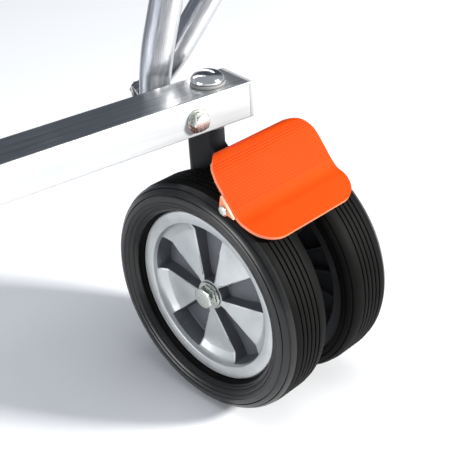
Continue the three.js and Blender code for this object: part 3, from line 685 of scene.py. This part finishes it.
def swivel_bush(node, finish, flange_up):
    """A flanged bush, drawn from its flange's outer face to its far end."""
    low, high = heights_of(node)
    start, ahead = (high, -1) if flange_up else (low, 1)
    end = low if flange_up else high
    flange = start + ahead * BUSH_FLANGE
    profile = [
        (KINGPIN_HOLE, start), (BUSH_FLANGE_RADIUS - BUSH_EDGE, start),
        (BUSH_FLANGE_RADIUS, start + ahead * BUSH_EDGE), (BUSH_FLANGE_RADIUS, flange),
        (BUSH_RADIUS, flange), (BUSH_RADIUS, end), (KINGPIN_HOLE, end),
    ]
    bush = smoothed(spun(profile, 72))
    settled(bush, node + "_moulded", CASTOR, "rail_frame", finish, [node])


def thrust_washer():
    profile = washer_profile(KINGPIN_HOLE, THRUST_WASHER_RADIUS, *heights_of("thrust_washer"))
    washer = smoothed(spun(profile, 72))
    settled(washer, "thrust_washer_pressed", CASTOR, "castor", ZINC, ["thrust_washer"])


# -------------------------------------------------------------------- castor pieces

TYRE_INNER = 12
TYRE_OUTER = 62
TYRE_SHOULDER = 13.5
RING_PLANE = 50.2
RING_OUTER = 74.4
RING_INNER = 64
RIM_SEAT = 80.4
FLANGE_RADIUS = 87.5
BEARING_RADIUS = 11
BEARING_WIDTH = 8
SHIELD_DEPTH = 0.7
HUB_INNER = 12.7
HUB_FACE = 46
HUB_RADIUS = 15.5
PETAL_COUNT = 5
PETAL_MIDDLE = 128
POCKET_FLOOR = 31
POCKET_TAPER = 0.82
POCKET_NEAR, POCKET_FAR = 12.2, 63.9
PETAL_HALF_ANGLE = 20.4  # degrees
PETAL_APEX = 7  # the petals' straight edges meet this far from the axle
RIM_BACK_PLANE = POCKET_FLOOR - 5
BACK_RIB_COUNT = 20
# The petals' face from the ring inwards: radius, and depth under the ring
PETAL_FACE = [
    (63.8, 0.6), (63.5, 2.2), (63, 3.8), (62, 5.1), (60.6, 6), (58.5, 7), (56.6, 7.9), (55.6, 8.35),
    (54.6, 8.55), (53.4, 8.45), (51, 8.2), (42, 7.3), (30, 6.2), (19, 5.1), (14, 4.5),
]


# Grooves, as degrees or millimetres to either side of the middle, and depth
SHOULDER_GROOVE = ((-7, 0), (-2.6, 0.1), (-1.6, 1.0), (1.6, 1.0), (2.6, 0.1), (7, 0))
CROWN_GROOVE = ((-1.5, 0), (-0.7, 0.12), (-0.4, 1.3), (0.4, 1.3), (0.7, 0.12), (1.5, 0))
CROWN_GROOVE_COUNT = 5
# The stepped outer side wall, from the shoulder down to the rim's ring
SIDE_WALL = [
    (87.2, 61.8), (86.9, 61.4), (86.3, 61.4), (86, 61.7), (84.8, 61.5), (83.6, 60.9), (83.2, 60.2),
    (82.6, 60.1), (82.2, 60.4), (81, 59.7), (79.9, 58.6), (79.6, 57.7), (79, 57.5), (78.6, 57.7),
    (77.6, 56.5), (76.9, 54.9), (76.4, 53.2), (76, 52), (75.5, 51.3), (RING_OUTER + 0.7, 51),
    (RING_OUTER + 0.7, 48.5), (RING_OUTER + 1.3, RING_PLANE - 3.4), (RIM_SEAT + GAP, RING_PLANE - 5),
]


def tyre(side):
    """A ribbed tyre: grooved crown, stepped side walls, a lip round the rim."""
    middle = (TYRE_INNER + TYRE_OUTER) / 2
    crown = (TYRE_OUTER - TYRE_INNER) / 2 - TYRE_SHOULDER
    profile = [
        (RIM_SEAT + GAP, TYRE_INNER + 8.6),
        (FLANGE_RADIUS + GAP, TYRE_INNER + 6.8),
        (FLANGE_RADIUS + GAP, TYRE_INNER + 1.2),
        (FLANGE_RADIUS + 1, TYRE_INNER + 0.4),
    ]

    def shoulder(angle, towards, drop=0):
        reach = TYRE_SHOULDER - drop
        return (
            WHEEL_RADIUS - TYRE_SHOULDER + reach * math.cos(math.radians(angle)),
            middle + towards * (crown + reach * math.sin(math.radians(angle))),
        )

    profile.append(shoulder(84, -1))
    for groove in (66, 42):
        for offset, drop in reversed(SHOULDER_GROOVE):
            profile.append(shoulder(groove + offset, -1, drop))
    profile.append(shoulder(20, -1))
    for i in range(CROWN_GROOVE_COUNT):
        centre = middle - crown + (i + 0.5) * 2 * crown / CROWN_GROOVE_COUNT
        for offset, drop in CROWN_GROOVE:
            profile.append((WHEEL_RADIUS - drop, centre + offset))
    profile.append(shoulder(20, 1))
    for groove in (42, 66):
        for offset, drop in SHOULDER_GROOVE:
            profile.append(shoulder(groove + offset, 1, drop))
    piece = smoothed(spun(profile + SIDE_WALL, 160), 50)
    piece.data.materials.append(TREAD_RUBBER)
    piece.data.materials.append(WALL_RUBBER)
    for polygon in piece.data.polygons:
        if polygon.center.z > middle + crown + 6:
            polygon.material_index = 1
    node = side + "_tyre"
    settled(piece, node + "_ribbed", OUTWARDS[side], side + "_wheel", TREAD_RUBBER, [node])


def pocket_cutter(middle):
    """The tapered cutter of one pocket between two petals, around its middle in degrees."""
    wedge = math.radians(PETAL_HALF_ANGLE)
    side_radii = (52, 40, 28, 19)

    def edge_angle(radius, sign):
        """Where the neighbouring petal's straight edge is at a radius, in degrees."""
        half = wedge - math.asin(PETAL_APEX * math.sin(wedge) / radius)
        return middle + sign * (180 / PETAL_COUNT - math.degrees(half))

    def petal_edge(radius, sign):
        turn = math.radians(edge_angle(radius, sign))
        return (radius * math.cos(turn), radius * math.sin(turn))

    near, far = POCKET_NEAR, POCKET_FAR
    outline = arc((0, 0), far, edge_angle(far, -1), edge_angle(far, 1), 24)
    outline += [petal_edge(radius, 1) for radius in side_radii]
    outline += arc((0, 0), near, edge_angle(near, 1), edge_angle(near, -1), 14)
    outline += [petal_edge(radius, -1) for radius in reversed(side_radii)]
    cutter = plate(outline, POCKET_FLOOR, RING_PLANE + 8)
    for vertex in cutter.data.vertices:
        if vertex.co.z > RING_PLANE:
            continue
        turn = math.atan2(vertex.co.y, vertex.co.x) - math.radians(middle)
        turn = (turn + math.pi) % math.tau - math.pi
        radius = math.hypot(vertex.co.x, vertex.co.y)
        turn = math.radians(middle) + turn * POCKET_TAPER
        radius = max(POCKET_NEAR + 1, min(radius, POCKET_FAR - 2.1))
        vertex.co.x = radius * math.cos(turn)
        vertex.co.y = radius * math.sin(turn)
        vertex.co.z = POCKET_FLOOR + 5 * between(radius, 58, 16)
    return bevelled(cutter, 2.4, 4, 30)


def petal_height(radius):
    """How far out the petals' face is at a radius."""
    for (outer, high), (inner, low) in zip(PETAL_FACE, PETAL_FACE[1:]):
        if radius >= inner:
            return RING_PLANE - low - (high - low) * min(1, (radius - inner) / (outer - inner))
    return RING_PLANE - PETAL_FACE[-1][1]


def rim_profile():
    """Half the rim's section: its ring, its bowl, its bore and its stepped back."""
    bore = BEARING_RADIUS + GAP
    face = [
        (RING_OUTER + 1, RING_PLANE - 3.5), (RING_OUTER, RING_PLANE - 0.8),
        (RING_OUTER - 0.5, RING_PLANE - 0.2), (RING_OUTER - 1.2, RING_PLANE),
        (RING_INNER + 0.5, RING_PLANE), (RING_INNER + 0.1, RING_PLANE - 0.15),
    ]
    bowl = [(radius, RING_PLANE - depth) for radius, depth in PETAL_FACE]
    hub = [(bore, HUB_FACE), (bore, HUB_INNER), (HUB_RADIUS, HUB_INNER)]
    back = [
        (HUB_RADIUS + 0.6, RIM_BACK_PLANE), (40, RIM_BACK_PLANE), (68, RIM_BACK_PLANE - 1),
        (75.4, RIM_BACK_PLANE - 2.5), (76.4, RIM_BACK_PLANE - 4), (76.4, TYRE_INNER + 5),
        (77.4, TYRE_INNER + 4), (FLANGE_RADIUS - 0.7, TYRE_INNER + 4),
        (FLANGE_RADIUS, TYRE_INNER + 4.7), (FLANGE_RADIUS, TYRE_INNER + 6.5),
        (RIM_SEAT, TYRE_INNER + 8.3), (RIM_SEAT, RING_PLANE - 5.3),
    ]
    return face + bowl + hub + back


def rim_ribs():
    """Radial ribs and one ring on the rim's back."""
    low, high = TYRE_INNER + 9, RIM_BACK_PLANE - 0.5
    root, tip = HUB_RADIUS - 1, 77
    ribs = []
    for i in range(BACK_RIB_COUNT):
        rib = plate([(root, -1), (tip, -0.7), (tip, 0.7), (root, 1)], low, high)
        turned_to(rib, Matrix.Rotation(math.tau * i / BACK_RIB_COUNT + 0.05, 4, "Z"))
        ribs.append(rib)
    ring = spun([(46, low), (47.8, low), (47.8, high), (46, high)], 80)
    back_ribs = bevelled(joined([*ribs, ring]), 0.3, 1, 60)
    back_ribs.data.materials.append(RIM_BACK)
    return smoothed(back_ribs)


def rim(side, turn):
    """The dished rim: a flat ring, a bowl of five petals with pockets between, a ribbed back."""
    body = spun(rim_profile(), 120)
    for material in (RIM_SILVER, RIM_POCKET_PAINTED_SHADE, RIM_BACK):
        body.data.materials.append(material)
    pitch = 360 / PETAL_COUNT
    cutters = [pocket_cutter(PETAL_MIDDLE + (i + 0.5) * pitch) for i in range(PETAL_COUNT)]
    cut(body, joined(cutters))
    modified(
        body, "BEVEL", width=1.0, segments=3, limit_method="ANGLE", angle_limit=math.radians(48),
        use_clamp_overlap=False, harden_normals=False,
    )
    for polygon in body.data.polygons:
        radius = math.hypot(polygon.center.x, polygon.center.y)
        height = polygon.center.z
        # Pocket walls and floors, under the petals' face, take the darker pocket finish: painted
        # shade.
        if 12.5 < radius < RING_INNER - 0.05 and height > POCKET_FLOOR - 3:
            if height < petal_height(radius) - 0.5:
                polygon.material_index = 1
        elif height < POCKET_FLOOR - 4 or radius > 79:
            polygon.material_index = 2
    piece = joined([smoothed(body, 36), rim_ribs()])
    turned_to(piece, Matrix.Rotation(math.radians(turn), 4, "Z"))
    node = side + "_rim"
    place = OUTWARDS[side]
    settled(piece, node + "_moulded", place, side + "_wheel", RIM_SILVER, [node])


AXLE_RADIUS = 5
AXLE_HEX = 17
AXLE_HEAD = 6.4
AXLE_NUT = 8
AXLE_WASHER = 1.6
AXLE_WASHER_RADIUS = 11.5
SPACER_RADIUS = 8.5
SPACER_ENDS = (10.5, 12.4)


def bearings(side):
    """Shielded ball bearings at both ends of a hub."""
    inner = AXLE_RADIUS + GAP
    for where, near in (("outer", HUB_FACE - BEARING_WIDTH), ("inner", HUB_INNER)):
        node = f"{side}_{where}_bearing"
        far = near + BEARING_WIDTH
        profile = [
            (inner, near), (7, near), (7.3, near + SHIELD_DEPTH), (9.2, near + SHIELD_DEPTH),
            (9.5, near), (BEARING_RADIUS, near), (BEARING_RADIUS, far), (9.5, far),
            (9.2, far - SHIELD_DEPTH), (7.3, far - SHIELD_DEPTH), (7, far), (inner, far),
        ]
        bearing = smoothed(spun(profile, 56))
        settled(bearing, node + "_shielded", OUTWARDS[side], side + "_wheel", ZINC, [node])


def axle_pieces():
    at_axle = CASTOR @ AXLE @ ALONG_X
    seat = HUB_FACE + AXLE_WASHER + 2 * GAP
    head = turned_to(hex_head(AXLE_HEX, AXLE_HEAD, 14), Matrix.Translation((0, 0, -seat)) @ HEAD_DOWN)
    bolt = smoothed(joined([head, shank(AXLE_RADIUS, -seat - 1, seat + 11)]))
    settled(bolt, "axle_bolt_forged", at_axle, "castor", ZINC, ["axle_bolt"])
    nut = lock_nut(AXLE_HEX, AXLE_NUT, AXLE_RADIUS, 20)
    turned_to(nut, Matrix.Translation((0, 0, seat)))
    settled(smoothed(nut), "axle_nut_turned", at_axle, "castor", ZINC, ["axle_nut"])
    hole = AXLE_RADIUS + GAP
    hub_end = HUB_FACE + GAP
    for side, sign in (("front", -1), ("rear", 1)):
        for name, finish_name, ends, radius, steps in (
            ("_axle_washer", "_pressed", (hub_end, hub_end + AXLE_WASHER), AXLE_WASHER_RADIUS, 64),
            ("_hub_spacer", "_turned", SPACER_ENDS, SPACER_RADIUS, 48),
        ):
            near, far = sorted(sign * end for end in ends)
            ring = smoothed(spun(washer_profile(hole, radius, near, far), steps))
            node = side + name
            settled(ring, node + finish_name, at_axle, "castor", ZINC, [node])


# ---------------------------------------------------------------------- brake pedal

PEDAL_LINE = [
    (85.9, 26.9), (83.7, 28.1), (81.4, 27.3), (78.9, 23.9), (76.1, 19.4), (71.3, 12.6),
    (66.1, 6.5), (61.4, 3.6), (57, 4.9), (52.3, 6.4), (46.3, 9.5),
]
PEDAL_THICKNESS = 2.6
PEDAL_LEFT, PEDAL_RIGHT = -57, 54.5
TOP_CORNER, BOTTOM_CORNER = 26, 23
RIB_PITCH = 2.2
RIB_HEIGHT = 0.62
RIB_START, RIB_END = 7.5, 46


def on_tread(degrees, lift):
    """A (y, z) place in the castor's frame, by angle about the axle and height over the tread."""
    angle = math.radians(degrees)
    reach = WHEEL_RADIUS + lift
    return (-TRAIL - reach * math.cos(angle), WHEEL_RADIUS + reach * math.sin(angle))


PEDAL_POINTS = [on_tread(*point) for point in PEDAL_LINE]
PIVOT = on_tread(69.2, 3)
PIN_RADIUS = 1.6
PIN_HEAD_RADIUS = 3.8
PIN_START, PIN_HEAD_END, PIN_END = -61.5, -60.3, 53.9
CLIP_RADIUS = 3.1
CLIP_ENDS = (52.8, 53.6)
LUG_RADIUS = 4.6
LUGS = ((-60, -55.5), (49, 52.5))
LUG_TO_TREAD = 1.2
SHOE_INNER, SHOE_OUTER = 18, 48
SHOE_TOE, SHOE_HEEL = (79, 3.8), (76.5, 3.8)


def pedal_plate():
    """The bent plate: a flat plan with round corners, cut in strips and laid over its line."""
    top, bottom = Vector(PEDAL_POINTS[0]), Vector(PEDAL_POINTS[-1])
    chord = (bottom - top).length
    direction = (bottom - top).normalized()
    samples = []
    for i in range(801):
        here = Vector(spline_point(PEDAL_POINTS, i / 800))
        samples.append(((here - top).dot(direction), here))

    def at(distance):
        for (low, start), (high, end) in zip(samples, samples[1:]):
            if high >= distance:
                share = (distance - low) / max(high - low, 1e-9)
                return start.lerp(end, share), (end - start).normalized()
        return samples[-1][1], (samples[-1][1] - samples[-2][1]).normalized()

    spare = PEDAL_THICKNESS / 2
    plan = (
        arc((PEDAL_LEFT + TOP_CORNER, TOP_CORNER - spare), TOP_CORNER, 270, 180, 22)
        + arc((PEDAL_LEFT + BOTTOM_CORNER, chord - BOTTOM_CORNER), BOTTOM_CORNER, 180, 90, 18)
        + arc((PEDAL_RIGHT - BOTTOM_CORNER, chord - BOTTOM_CORNER), BOTTOM_CORNER, 90, 0, 18)
        + arc((PEDAL_RIGHT - TOP_CORNER, TOP_CORNER - spare), TOP_CORNER, 0, -90, 22)
    )
    piece = outline_of(plan, filled=True)
    picked(piece)
    bpy.ops.object.mode_set(mode="EDIT")
    bpy.ops.mesh.select_all(action="SELECT")
    bpy.ops.mesh.bisect(plane_co=(0, 0.01, 0), plane_no=(0, 1, 0), clear_inner=True)
    bpy.ops.mesh.select_all(action="SELECT")
    bpy.ops.mesh.bisect(plane_co=(0, chord - 0.01, 0), plane_no=(0, 1, 0), clear_outer=True)
    fine_strip = RIB_PITCH / 4
    distance = fine_strip
    while distance < chord:
        bpy.ops.mesh.select_all(action="SELECT")
        bpy.ops.mesh.bisect(plane_co=(0, distance, 0), plane_no=(0, 1, 0))
        distance += fine_strip if distance < RIB_END + 1 else RIB_PITCH
    bpy.ops.object.mode_set(mode="OBJECT")
    for polygon in piece.data.polygons:
        distance = polygon.center.y
        # Faces in the ribs' grooves take the darker orange: painted shade.
        groove_shaded = math.cos(math.tau * distance / RIB_PITCH) > 0
        if groove_shaded and RIB_START + 1 < distance < RIB_END - 1:
            polygon.material_index = 2
    for vertex in piece.data.vertices:
        across, distance = vertex.co.x, vertex.co.y
        here, along = at(distance)
        normal = Vector((along.y, -along.x))
        ribbed = between(distance, RIB_START, RIB_START + 1) - between(distance, RIB_END - 4, RIB_END)
        inset = min(across - PEDAL_LEFT, PEDAL_RIGHT - across)
        wave = (1 - math.cos(math.tau * distance / RIB_PITCH)) / 2
        lift = RIB_HEIGHT * wave * ribbed * between(inset, 0.5, 3)
        vertex.co = (across, here.x - normal.x * lift, here.y - normal.y * lift)
    tidied(piece, 0.0005)
    return piece


def pedal_section(points, left, right):
    """A plate drawn in the castor's (y, z), extruded along the axle."""
    piece = plate(points, left, right)
    turned = Matrix(((0, 0, 1, 0), (1, 0, 0, 0), (0, 1, 0, 0), (0, 0, 0, 1)))
    return turned_to(piece, turned)


def rooted(share, depth=1.5):
    """A point of the pedal's line, pushed a little towards the axle."""
    here = Vector(spline_point(PEDAL_POINTS, share))
    inwards = (Vector((-TRAIL, WHEEL_RADIUS)) - here).normalized()
    return tuple(here + inwards * depth)


def pedal_lug(left, right):
    """A lug from the plate down to the pin. The one over the tread is cut open below."""
    boss = arc(PIVOT, LUG_RADIUS, 27, -144, 24)
    lug = pedal_section([rooted(0.48), *boss, rooted(0.66)], left, right)
    ends = (left - 1, right + 1)
    if left > 0:
        reach = WHEEL_RADIUS + LUG_TO_TREAD
        tread = spun([(0, ends[0]), (reach, ends[0]), (reach, ends[1]), (0, ends[1])], 160)
        cut(lug, turned_to(tread, AXLE @ ALONG_X))
    hole = PIN_RADIUS + GAP
    bore = spun([(0, ends[0]), (hole, ends[0]), (hole, ends[1]), (0, ends[1])], 32)
    cut(lug, turned_to(bore, Matrix.Translation((0, *PIVOT)) @ ALONG_X))
    # The lug takes the paler orange all over: painted highlight.
    lug.data.materials.clear()
    lug.data.materials.append(ORANGE_EDGE_HIGHLIGHT)
    return smoothed(bevelled(lug, 0.35, 2, 40))


def brake_pedal():
    blade = pedal_plate()
    widest = max(blade.data.polygons, key=lambda polygon: polygon.area)
    if widest.normal.z < 0:
        blade.data.flip_normals()
    for finish in (ORANGE, ORANGE_EDGE_HIGHLIGHT, ORANGE_GROOVE_SHADE, ORANGE_EDGE_HIGHLIGHT):
        blade.data.materials.append(finish)
    # The plate's rim faces take the paler orange: painted highlight on its edges.
    modified(
        blade, "SOLIDIFY", thickness=PEDAL_THICKNESS, offset=-1, use_even_offset=True,
        material_offset_rim=1,
    )
    bevelled(blade, 0.7, 3, 60)
    smoothed(blade, 40)
    pieces = [blade]
    for left, right in LUGS:
        pieces.append(pedal_lug(left, right))
    toe, heel = on_tread(*SHOE_TOE), on_tread(*SHOE_HEEL)
    for side in (-1, 1):
        left, right = sorted((side * SHOE_INNER, side * SHOE_OUTER))
        shoe = pedal_section([rooted(0.3), toe, heel, rooted(0.44)], left, right)
        shoe.data.materials.append(ORANGE)
        pieces.append(smoothed(bevelled(shoe, 0.5, 2, 40)))
    whole = joined(pieces)
    settled(whole, "brake_pedal_moulded", CASTOR, "pedal", ORANGE, ["brake_pedal"])


def pedal_pin():
    at_pivot = CASTOR @ Matrix.Translation((0, *PIVOT)) @ ALONG_X
    start = PIN_START
    profile = [
        (0, start), (2.6, start), (3.5, start + 0.35), (PIN_HEAD_RADIUS, start + 0.8),
        (PIN_HEAD_RADIUS, PIN_HEAD_END), (PIN_RADIUS, PIN_HEAD_END), (PIN_RADIUS, PIN_END - 0.5),
        (PIN_RADIUS - 0.4, PIN_END), (0, PIN_END),
    ]
    pin = smoothed(spun(profile, 40))
    settled(pin, "pedal_pin_riveted", at_pivot, "pedal", ZINC, ["pedal_pin"])
    clip = smoothed(spun(washer_profile(PIN_RADIUS + GAP, CLIP_RADIUS, *CLIP_ENDS, 0.15), 32))
    settled(clip, "pin_clip_sprung", at_pivot, "pedal", ZINC, ["pin_clip"])


def softened_nodes():
    """Pieces whose CAD shape is right: softened copies with a real finish."""
    for node, name, body, slot, finish, width in (
        ("rail", "rail_drawn", "rail_frame", "aluminium", ALUMINIUM_RAIL, 0),
        ("rail_end_cap", "rail_end_cap_moulded", "rail_frame", "grey_plastic", CAP_PLASTIC, 0.35),
        ("fork", "fork_moulded", "castor", "black_plastic", BLACK_PLASTIC, 0.8),
    ):
        piece = refined(node, width)
        settled(piece, name, ROW, body, finish, [node])
    for node, finish in (("kingpin", ZINC), ("crush_sleeve", ZINC)):
        kept = frame["nodes"][node]
        kept.data.materials.clear()
        kept.data.materials.append(finish)


# ------------------------------------------------------------ floor, light and camera


def floor():
    nothing_selected()
    bpy.ops.mesh.primitive_plane_add(size=5, location=(0, 0, FLOOR_Z - 0.0003))
    plane = bpy.context.object
    plane.name = "studio_floor"
    material, f, surface = new_finish("studio_floor")
    cloud = f.noise(f.stretched((3, 3, 3)), 1.0, 3.0)
    dressed(
        f, surface,
        Base_Color=f.mixed(cloud, (0.86, 0.875, 0.9), (0.89, 0.9, 0.915)),
        Roughness=0.7,
    )
    plane.data.materials.append(material)


LIGHT_AIM = (0.2, 0, -0.1)
KEY_AIM = (0.15, 0, -0.1)


def area_light(name, place, size, power, colour=(1, 1, 1), aim=LIGHT_AIM):
    data = bpy.data.lights.new(name, "AREA")
    data.shape = "RECTANGLE"
    data.size, data.size_y = size
    data.energy = power
    data.color = colour
    light = bpy.data.objects.new(name, data)
    bpy.context.scene.collection.objects.link(light)
    light.location = place
    light.rotation_euler = (Vector(aim) - Vector(place)).to_track_quat("-Z", "Y").to_euler()
    return light


def studio():
    """Soft lights and a pale surround with a darker part behind, for the metal to mirror."""
    area_light("key_softbox", (3.65, -4.06, 2.17), (0.85, 0.85), 660, (1, 0.985, 0.955), KEY_AIM)
    top = area_light("top_softbox", (0.2, -0.4, 1.9), (1.4, 1.4), 13)
    top.visible_glossy = False
    area_light("left_softbox", (-1.5, 0.05, 0.15), (0.9, 0.7), 15)
    world = bpy.data.worlds.new("studio")
    bpy.context.scene.world = world
    world.use_nodes = True
    tree = world.node_tree
    f = Finish(tree)
    backdrop = tree.nodes["Background"]
    direction = f.node("TexCoord", None, None, "Generated")
    behind = Vector((0.49, 0.72, 0.5)).normalized()
    facing = f.node("VectorMath", {"operation": "DOT_PRODUCT"}, {0: direction, 1: tuple(behind)}, 1)
    dark = f.ramp(facing, (0.72, 0.0), (0.86, 1.0))
    shade = f.mixed(dark, (0.84, 0.89, 1.0), (0.16, 0.185, 0.235))
    seen = f.node("LightPath", None, None, "Is Camera Ray")
    f.feed(backdrop.inputs["Color"], f.mixed(seen, shade, (2.3, 2.35, 2.4)))
    backdrop.inputs["Strength"].default_value = 0.4


def camera():
    """The viewpoint: low over the front left, rolled a little."""
    azimuth, elevation, roll = -0.6022935, 0.5196611, -0.0636103
    back = Vector((
        math.sin(azimuth) * math.cos(elevation),
        -math.cos(azimuth) * math.cos(elevation),
        math.sin(elevation),
    ))
    level = (-back).cross(Vector((0, 0, 1))).normalized()
    upwards = level.cross(-back)
    right = math.cos(roll) * level + math.sin(roll) * upwards
    up = -math.sin(roll) * level + math.cos(roll) * upwards
    data = bpy.data.cameras.new("camera")
    data.sensor_width = 36
    data.lens = 81.466
    data.clip_start = 0.01
    data.clip_end = 50
    seen_from = bpy.data.objects.new("camera", data)
    bpy.context.scene.collection.objects.link(seen_from)
    turn = Matrix((right, up, back)).transposed().to_4x4()
    seen_from.matrix_world = Matrix.Translation((-0.200614, -0.615749, 0.312375)) @ turn
    bpy.context.scene.camera = seen_from


softened_nodes()
frame_tubes()
cross_bolt_pieces()
dome_cap()
swivel_bush("upper_bush", NYLON, flange_up=True)
swivel_bush("lower_bush", BLACK_PLASTIC, flange_up=False)
thrust_washer()
for wheel, wheel_turn in (("front", 0), ("rear", 200)):
    tyre(wheel)
    rim(wheel, wheel_turn)
    bearings(wheel)
axle_pieces()
brake_pedal()
pedal_pin()
floor()
studio()
camera()
bpy.context.scene.view_settings.view_transform = "Standard"
